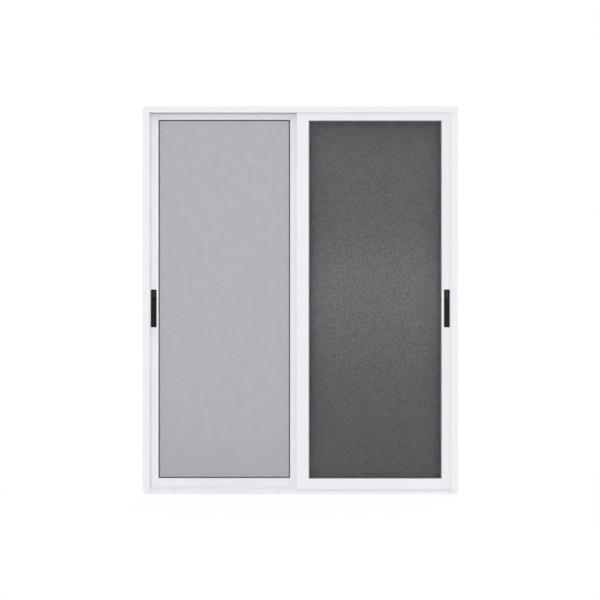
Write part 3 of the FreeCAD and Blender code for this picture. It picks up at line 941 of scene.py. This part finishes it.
bench.wire(peel, coat_out["Height"])
print("powder coat group:", len(coat_group.nodes), "nodes")

# %% [markdown]
# The screen sash and the sill also get a thin line of painted shade, where the parts in front of
# them would shade them. It follows a rectangle: the inner edge of the frame's face on the sash,
# and the middle of the tracks' height on the sill. An edge that has no line is set far off.

# %% Powder coats
peel_depth = 0.12 * mm
far_off = 10.0
jamb_face = 37.5 * mm
head_face = 33.0 * mm
track_middle = 28.0 * mm


def coated(name, coat, shade_line=None):
    """Powder coat, with a line of painted shade where a rectangle is given for it."""
    material, bench, shader = shader_of(name)
    grain = use_group(bench, coat_group, paint=coat["paint"] + (1,), peel=coat["peel"],
                      rough=coat["rough"], dust=coat["dust"])
    tone = grain["Colour"]
    # Painted shade along the given rectangle darkens the paint.
    if shade_line:
        tone = bench.scale_colour(tone, use_group(bench, edge_group, **shade_line)["Tone"])
    bench.wire(tone, shader.inputs["Base Color"])
    bench.wire(grain["Roughness"], shader.inputs["Roughness"])
    bump(bench, grain["Height"], coat["bump"], peel_depth, shader)
    set_evenly(shader, {"Specular IOR Level": coat["gloss"]})
    return material


white = {"paint": (0.835, 0.842, 0.877), "peel": 950.0, "rough": 0.42, "dust": 0.30,
         "bump": 0.25, "gloss": 0.45}
black = {"paint": (0.012, 0.0125, 0.0125), "peel": 1500.0, "rough": 0.46, "dust": 0.02,
         "bump": 0.35, "gloss": 0.16}
# Painted shade: along the fins on the screen sash, and along the tracks and jambs on the sill.
sash_shade_line = {"left": -far_off, "right": cad_box[1].x - jamb_face,
             "bottom": -far_off, "top": cad_box[1].z - head_face,
             "near_depth": 0.16, "near_reach": 0.0032,
             "far_depth": 0.01, "far_reach": 0.010, "upright_share": 1.35}
sill_shade_line = {"left": cad_box[0].x + jamb_face, "right": cad_box[1].x - jamb_face,
             "bottom": track_middle, "top": far_off,
             "near_depth": 0.08, "near_reach": 0.008,
             "far_depth": 0.0, "far_reach": 0.02, "upright_share": 1.0}
white_coat = coated("White powder coat", white)
screen_coat = coated("White coat of the screen sash", white, sash_shade_line)
sill_coat = coated("White coat of the sill", white, sill_shade_line)
black_coat = coated("Black powder coat", black)
print("powder coats:", white_coat.name, screen_coat.name, sill_coat.name, black_coat.name)

# %% [markdown]
# The panes are lightly tinted float glass. The grey comes from the base colour, which filters the
# light at each surface. A trace of unevenness in the tint keeps it from looking like a filter.
# Painted shade darkens the tint a little towards the edges of a pane and more towards its foot.

# %% Glass
glass_tint = (0.655, 0.662, 0.690)
glass_ior = 1.52
foot_shade_depth = 0.065
foot_shade_reach = 0.36
haze_scale = 36.0
haze_swing = 0.014
wave_scale = 5.0
wave_bump = 0.02
wave_depth = 0.4 * mm


def tinted_glass(name, pane):
    """Glass whose tint deepens towards the edges and the foot of a pane, as painted shade."""
    low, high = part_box(pane)
    material, bench, shader = shader_of(name)
    # Painted shade: the tint darkens towards the edges and the foot of the pane.
    edges = use_group(bench, edge_group, left=low.x, right=high.x, bottom=low.z, top=high.z,
                      near_depth=0.02, far_depth=0.02)
    from_foot = bench.math("SUBTRACT", bench.split(bench.place())["Z"], low.z)
    foot = bench.math("SUBTRACT", 1.0, bench.fade(from_foot, foot_shade_depth, foot_shade_reach))
    haze = bench.noise(bench.stretch((1, 1, 0.8)), haze_scale)
    shade = bench.math("MULTIPLY", bench.math("MULTIPLY", edges["Tone"], foot),
                       bench.vary(haze, 1.0, haze_swing))
    bench.wire(bench.scale_colour(glass_tint, shade), shader.inputs["Base Color"])
    wave = bench.noise(bench.stretch((1, 1, 0.35)), wave_scale, detail=1.0)
    bump(bench, wave, wave_bump, wave_depth, shader)
    set_evenly(shader, {"Transmission Weight": 1.0, "Roughness": 0.0, "IOR": glass_ior})
    return material


sash_glass = tinted_glass("Sash glass", "glass_pane_front")
fixed_glass = tinted_glass("Fixed glass", "fixed_pane_front")
print("glass:", sash_glass.name, "and", fixed_glass.name)

# %% [markdown]
# The yarns are coated in dark plastic. Painted shade darkens the cloth near its edges, where the
# frame shades it, under the head, and towards the bottom, and a painted pool of light makes it
# palest a little above its middle. It is mottled all over in specks about a centimetre across,
# because the yarn varies in thickness.

# %% Painted light and shade of the screen yarn
yarn_colour = (0.122, 0.124, 0.128)
painted_foot_tone, painted_top_tone = 0.48, 0.70
foot_height, top_height = 0.1, 1.9
painted_light_height = 1.09
painted_light_above = 0.28
painted_light_below = 0.45
painted_light_gain = 0.33
head_shade = 0.58
head_reach = 0.10
speck_scale = 90.0
speck_low, speck_high = 0.34, 0.66
speck_swing = 0.23

yarn_material, bench, shader = shader_of("Coated yarn")
# Painted shade near the edges of the cloth.
edges = use_group(bench, edge_group, left=cloth_low.x, right=cloth_high.x, bottom=cloth_low.z,
                  top=cloth_high.z, near_depth=0.40, far_depth=0.62, upright_share=0.42)
place = bench.split(bench.place())
# Painted light: palest a little above the middle, darker towards the bottom.
above = bench.math("DIVIDE", bench.math("SUBTRACT", place["Z"], painted_light_height), painted_light_above)
below = bench.math("DIVIDE", bench.math("SUBTRACT", painted_light_height, place["Z"]), painted_light_below)
away = bench.math("MAXIMUM", above, below)
painted_light_hump = bench.math("EXPONENT", bench.math("MULTIPLY", bench.math("MULTIPLY", away, away), -1.0))
painted_height_tone = bench.math(
    "ADD", bench.spread(place["Z"], foot_height, top_height, painted_foot_tone, painted_top_tone),
    bench.math("MULTIPLY", painted_light_hump, painted_light_gain))
# Painted shadow under the head.
from_head = bench.math("SUBTRACT", cloth_high.z, place["Z"])
painted_head_shadow = bench.math("SUBTRACT", 1.0, bench.fade(from_head, head_shade, head_reach))
speck = bench.noise(bench.place(), speck_scale, detail=1.0)
speckle = bench.spread(speck, speck_low, speck_high, 1.0 - speck_swing, 1.0 + speck_swing)
shaded = bench.math("MULTIPLY", bench.math("MULTIPLY", edges["Tone"], painted_height_tone), painted_head_shadow)
amount = bench.math("MULTIPLY", shaded, speckle)
bench.wire(bench.scale_colour(yarn_colour, amount), shader.inputs["Base Color"])
set_evenly(shader, {"Roughness": 0.62, "Specular IOR Level": 0.12})
print("yarn shade:", len(yarn_material.node_tree.nodes), "nodes")

# %% [markdown]
# Where one yarn passes over another it bulges. A bump gives that without thousands of bends: two
# sine waves, one across and one up, whose length is two yarns.

# %% Bulges of the weave
bulge_bump = 0.6
bulge_depth = 0.2 * mm


def ripple(bench, value, low):
    """Rises and falls once over two yarns."""
    phase = bench.math("MULTIPLY", bench.math("SUBTRACT", value, low), math.pi / yarn_pitch)
    return bench.math("SINE", phase)


weave = bench.math("MULTIPLY", ripple(bench, place["X"], cloth_low.x),
                   ripple(bench, place["Z"], cloth_low.z))
bump(bench, weave, bulge_bump, bulge_depth, shader)
print("yarn:", yarn_material.name)

# %% [markdown]
# Rubber, nylon and wool share a soft, fine mottle in colour and gloss. The wheels' nylon lets a
# little light in under its skin, and wool has a sheen.

# %% Rubber, nylon and wool
mottle_group, mottle_in, mottle_out = node_group(
    "Mottle",
    {"Base": grey, "Size": 600.0, "Contrast": 0.1, "Rough": 0.6},
    {"Colour": grey, "Roughness": 0.6, "Height": 0.0})
bench = Bench(mottle_group)
fine = bench.noise(bench.place(), mottle_in["Size"], detail=3.0)
swing = bench.math("MULTIPLY", bench.math("SUBTRACT", fine, 0.5), mottle_in["Contrast"])
tone = bench.math("ADD", swing, 1.0)
bench.wire(bench.scale_colour(mottle_in["Base"], tone), mottle_out["Colour"])
bench.wire(bench.math("ADD", mottle_in["Rough"], bench.math("MULTIPLY", swing, 0.5), clamp=True),
           mottle_out["Roughness"])
bench.wire(fine, mottle_out["Height"])


def mottled(name, base, size, contrast, rough, strength, depth, even=None):
    """Base colour, grains a metre and their contrast, roughness, and the bump with its depth."""
    material, bench, shader = shader_of(name)
    grain = use_group(bench, mottle_group, base=base + (1,), size=size, contrast=contrast,
                      rough=rough)
    bench.wire(grain["Colour"], shader.inputs["Base Color"])
    bench.wire(grain["Roughness"], shader.inputs["Roughness"])
    bump(bench, grain["Height"], strength, depth * mm, shader)
    set_evenly(shader, even or {})
    return material


gasket_rubber = mottled("Gasket rubber", (0.098, 0.100, 0.104), 700.0, 0.5, 0.62, 0.3, 0.1)
bumper_rubber = mottled("Bumper rubber", (0.52, 0.53, 0.54), 500.0, 0.3, 0.7, 0.3, 0.1)
spline_rubber = mottled("Spline rubber", (0.40, 0.41, 0.43), 800.0, 0.4, 0.6, 0.3, 0.1)
guide_nylon = mottled("Guide nylon", (0.70, 0.71, 0.72), 350.0, 0.12, 0.45, 0.1, 0.05)
wheel_nylon = mottled("Wheel nylon", (0.78, 0.77, 0.72), 350.0, 0.12, 0.38, 0.1, 0.05,
                      {"Subsurface Weight": 0.1, "Subsurface Radius": (2 * mm, 2 * mm, 2 * mm)})
pile_wool = mottled("Brush wool", (0.33, 0.34, 0.35), 1400.0, 0.9, 0.9, 0.6, 0.2,
                    {"Sheen Weight": 0.4})
print("soft finishes:", len(bpy.data.materials), "materials so far")

# %% [markdown]
# The latch and the bar between two panes are bare metal, brushed along one direction. A noise
# stretched that way gives the fine scratches.

# %% Brushed metal
scratch_scale = 1800.0
scratch_stretch = 0.03
scratch_dark, scratch_bright = 0.85, 1.12
scratch_rough = 0.08
scratch_bump = 0.2
scratch_depth = 0.03 * mm


def brushed(name, base, along, rough):
    """Metal with fine scratches along one axis: 0 is X and 2 is Z."""
    material, bench, shader = shader_of(name)
    scale = [1.0, 1.0, 1.0]
    scale[along] = scratch_stretch
    streak = bench.noise(bench.stretch(scale), scratch_scale)
    tone = bench.spread(streak, noise_low, noise_high, scratch_dark, scratch_bright)
    bench.wire(bench.scale_colour(base, tone), shader.inputs["Base Color"])
    bench.wire(bench.vary(streak, rough, scratch_rough), shader.inputs["Roughness"])
    bump(bench, streak, scratch_bump, scratch_depth, shader)
    set_evenly(shader, {"Metallic": 1.0})
    return material


latch_steel = brushed("Brushed steel", (0.60, 0.60, 0.59), 2, 0.32)
spacer_metal = brushed("Spacer metal", (0.50, 0.51, 0.52), 0, 0.42)
print("materials:", len(bpy.data.materials))

# %% [markdown]
# Each slot of the record now gets its finish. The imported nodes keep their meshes. A few bars and
# panes have their own version of the finish.

# %% Dress the pieces
finish_of = {
    "white_coat": white_coat,
    "clear_glass": sash_glass,
    "warm_edge": spacer_metal,
    "gasket": gasket_rubber,
    "black_metal": black_coat,
    "latch_metal": latch_steel,
    "wheel_plastic": wheel_nylon,
    "guide_plastic": guide_nylon,
    "stop_rubber": bumper_rubber,
    "brush": pile_wool,
    "screen_cloth": yarn_material,
    "spline_rubber": spline_rubber,
}
own_finish = {
    "fixed_pane_front": fixed_glass,
    "fixed_pane_rear": fixed_glass,
    "screen_lock_stile": screen_coat,
    "screen_meeting_stile": screen_coat,
    "screen_top_rail": screen_coat,
    "sill": sill_coat,
}


def dress(material, *pieces):
    """Give pieces one material."""
    for piece in pieces:
        piece.data.materials.clear()
        piece.data.materials.append(material)


for entry in frame["record"]["subparts"]:
    node = entry["node"]
    dress(own_finish.get(node, finish_of[entry["material_slot"]]), frame["nodes"][node])
dress(yarn_material, screen_cloth, screen_hem)
dress(pile_wool, glass_pile, screen_pile)
dress(guide_nylon, weep_covers)
dress(black_coat, *black_screws, *thumb_ridges)
dress(latch_steel, *steel_screws, *latch_hooks)

# %% [markdown]
# The picture shows the door square on, from far away with a long lens, so nothing narrows with
# depth. The lens is worked out from the width that the picture covers at the frame's front.

# %% Camera
picture_width = 600
door_pixels = 387.6
door_middle = (300.15, 300.2)
door_height = cad_box[1].z - cad_box[0].z
pixel = door_height / door_pixels
camera_distance = 40.0
sensor = 36.0
sight = 600.0

camera_data = bpy.data.cameras.new("Camera")
camera_data.sensor_width = sensor
camera_data.lens = sensor * (camera_distance + cad_box[0].y) / (picture_width * pixel)
camera_data.clip_end = sight
camera = bpy.data.objects.new("Camera", camera_data)
bpy.context.scene.collection.objects.link(camera)
centre = (cad_box[0] + cad_box[1]) / 2
shift_x = (picture_width / 2 - door_middle[0]) * pixel
shift_z = (door_middle[1] - picture_width / 2) * pixel
camera.location = (centre.x + shift_x, -camera_distance, centre.z + shift_z)
camera.rotation_euler = (quarter, 0, 0)
bpy.context.scene.camera = camera
print("lens:", round(camera_data.lens, 1), "mm")

# %% [markdown]
# The light is a white studio. The dome lights the door only a little, but the camera, reflections
# and glass all see it as plain white. Light Path tells those rays from the rest.

# %% World
dome_light = 0.08


def looked_at(bench):
    """1 for a ray from the camera, a reflection or a pane, and 0 for light on its way."""
    ray = bench.add("ShaderNodeLightPath").outputs
    through = bench.math("MAXIMUM", ray["Is Glossy Ray"], ray["Is Transmission Ray"])
    return bench.math("MAXIMUM", ray["Is Camera Ray"], through)


world = bpy.data.worlds.new("Studio")
bpy.context.scene.world = world
world.use_nodes = True
bench = Bench(world.node_tree)
sky = world.node_tree.nodes["Background"]
sky.inputs["Color"].default_value = (1, 1, 1, 1)
bench.wire(bench.spread(looked_at(bench), 0.0, 1.0, dome_light, 1.0), sky.inputs["Strength"])
print("dome:", dome_light)

# %% [markdown]
# Three lamps light the front: a small low one reaches into the tracks, a larger one a little above
# it draws the soft shadow under the head, and a very wide one works as a bright wall would. One
# lamp behind and one at each side keep the other faces as bright, and none clips the white paint.

# %% Lamps
lamp_distance = 5
lamps = [    # name, azimuth from the front, height, strength and width, all angles in degrees
    ("Front lamp", 0, 1.2, 1.10, 2),
    ("Middle lamp", -2, 7, 0.27, 14),
    ("Wide lamp", 6, 0, 2.05, 75),
    ("Rear lamp", 178, 12, 2.30, 24),
    ("Left lamp", -90, 30, 2.30, 24),
    ("Right lamp", 90, 30, 2.30, 24),
]
for name, azimuth, height, strength, width in lamps:
    data = bpy.data.lights.new(name, "SUN")
    data.energy = strength
    data.angle = math.radians(width)
    light = bpy.data.objects.new(name, data)
    turn = math.radians(azimuth)
    lift = math.radians(height)
    towards = Vector((math.sin(turn) * math.cos(lift), -math.cos(turn) * math.cos(lift),
                      math.sin(lift)))
    light.rotation_euler = towards.to_track_quat("Z", "Y").to_euler()
    light.location = towards * lamp_distance
    light.visible_glossy = False
    light.visible_transmission = False
    bpy.context.scene.collection.objects.link(light)
print("lamps:", len(lamps))

# %% [markdown]
# The floor is pale and keeps the door's shadow. To the camera it fades into white a few metres
# out, and it is clear from below, so that a low view isn't blocked. Its bounce is held down, or
# it would light the door from beneath.

# %% Floor
floor_size = 400
floor_bounce = (0.28, 0.28, 0.28, 1)
floor_seen = (0.95, 0.95, 0.95, 1)
floor_grain = 4.0
floor_swing = 0.01
glow_from, glow_to = 2.0, 6.0
glow_near, glow_far = 0.88, 1.0

start_clean()
bpy.ops.mesh.primitive_plane_add(size=floor_size)
floor = new_piece("floor")
floor_material, bench, shader = shader_of("Pale floor")
seen = looked_at(bench)
grain = bench.noise(bench.place(), floor_grain)
pale = bench.blend(seen, floor_bounce, floor_seen)
bench.wire(bench.scale_colour(pale, bench.vary(grain, 1.0, floor_swing)),
           shader.inputs["Base Color"])
set_evenly(shader, {"Roughness": 0.9, "Specular IOR Level": 0.0})
print("floor:", floor_size, "m")

# %% Floor that fades into white
def mix_shaders(bench, share, first, second):
    """Two shaders mixed by a share."""
    node = bench.add("ShaderNodeMixShader")
    for index, source in enumerate((share, first, second)):
        bench.wire(source, node.inputs[index])
    return node.outputs[0]


plain_white = bench.add("ShaderNodeEmission")
plain_white.inputs["Strength"].default_value = 1.0
away = bench.add("ShaderNodeVectorMath", operation="LENGTH")
bench.wire(bench.place(), away.inputs[0])
glow = bench.spread(away.outputs["Value"], glow_from, glow_to, glow_near, glow_far)
top_side = mix_shaders(bench, bench.math("MULTIPLY", seen, glow), shader.outputs[0],
                       plain_white.outputs[0])
underside = bench.add("ShaderNodeNewGeometry").outputs["Backfacing"]
clear = bench.add("ShaderNodeBsdfTransparent").outputs[0]
surface = floor_material.node_tree.nodes["Material Output"].inputs["Surface"]
bench.wire(mix_shaders(bench, underside, top_side, clear), surface)
dress(floor_material, floor)
bpy.context.scene.view_settings.view_transform = "Standard"
print("the floor fades into white between", glow_from, "and", glow_to, "m")
